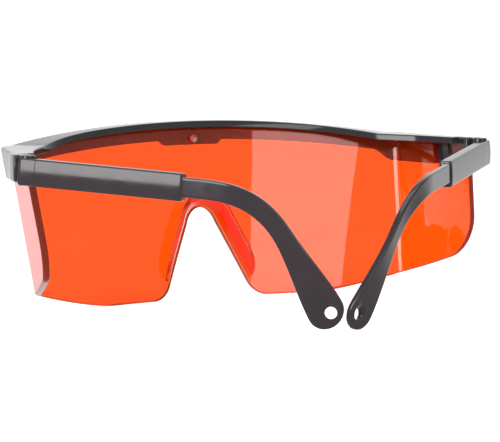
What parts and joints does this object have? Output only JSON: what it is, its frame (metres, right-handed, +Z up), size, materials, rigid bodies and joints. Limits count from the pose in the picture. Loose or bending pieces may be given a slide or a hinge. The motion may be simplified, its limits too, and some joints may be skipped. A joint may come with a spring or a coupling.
{
  "type": "safety glasses",
  "caption": "Single-lens wraparound safety glasses with side shields, a brow bar and folding temples that slide in their sleeves to set the length.",
  "frame": {"origin": "middle of the footprint at the height the glasses stand on", "axes": "+Z up, -Y out of the front of the lens, +X towards the wearer's left"},
  "size_m": [0.151, 0.1041, 0.051],
  "materials": {
    "lens_polycarbonate": "clear orange tinted polycarbonate, polished",
    "frame_plastic": "black injection moulded plastic, glossy",
    "stud_plastic": "grey moulded snap stud"
  },
  "bodies": {
    "front": {"brow_bar": "frame_plastic", "lens": "lens_polycarbonate", "lens_snap_stud": "stud_plastic", "hinge_pin_left": "frame_plastic", "hinge_pin_right": "frame_plastic"},
    "sleeve_left": {"temple_sleeve_left": "frame_plastic"},
    "arm_left": {"temple_arm_left": "frame_plastic"},
    "sleeve_right": {"temple_sleeve_right": "frame_plastic"},
    "arm_right": {"temple_arm_right": "frame_plastic"}
  },
  "joints": [
    {"name": "fold_left", "type": "hinge", "parent": "front", "child": "sleeve_left", "pos_m": [0.072, -0.00355, 0.043], "axis": [0, 0, 1], "range_deg": [-41.5, 48.5]},
    {"name": "length_left", "type": "slide", "parent": "sleeve_left", "child": "arm_left", "axis": [-0.6609, 0.747, -0.0715], "range_m": [0, 0.0098]},
    {"name": "fold_right", "type": "hinge", "parent": "front", "child": "sleeve_right", "pos_m": [-0.072, -0.00355, 0.043], "axis": [0, 0, -1], "range_deg": [-47.3, 28.7]},
    {"name": "length_right", "type": "slide", "parent": "sleeve_right", "child": "arm_right", "axis": [0.733, 0.6764, -0.0715], "range_m": [-0.0098, 0]}
  ]
}
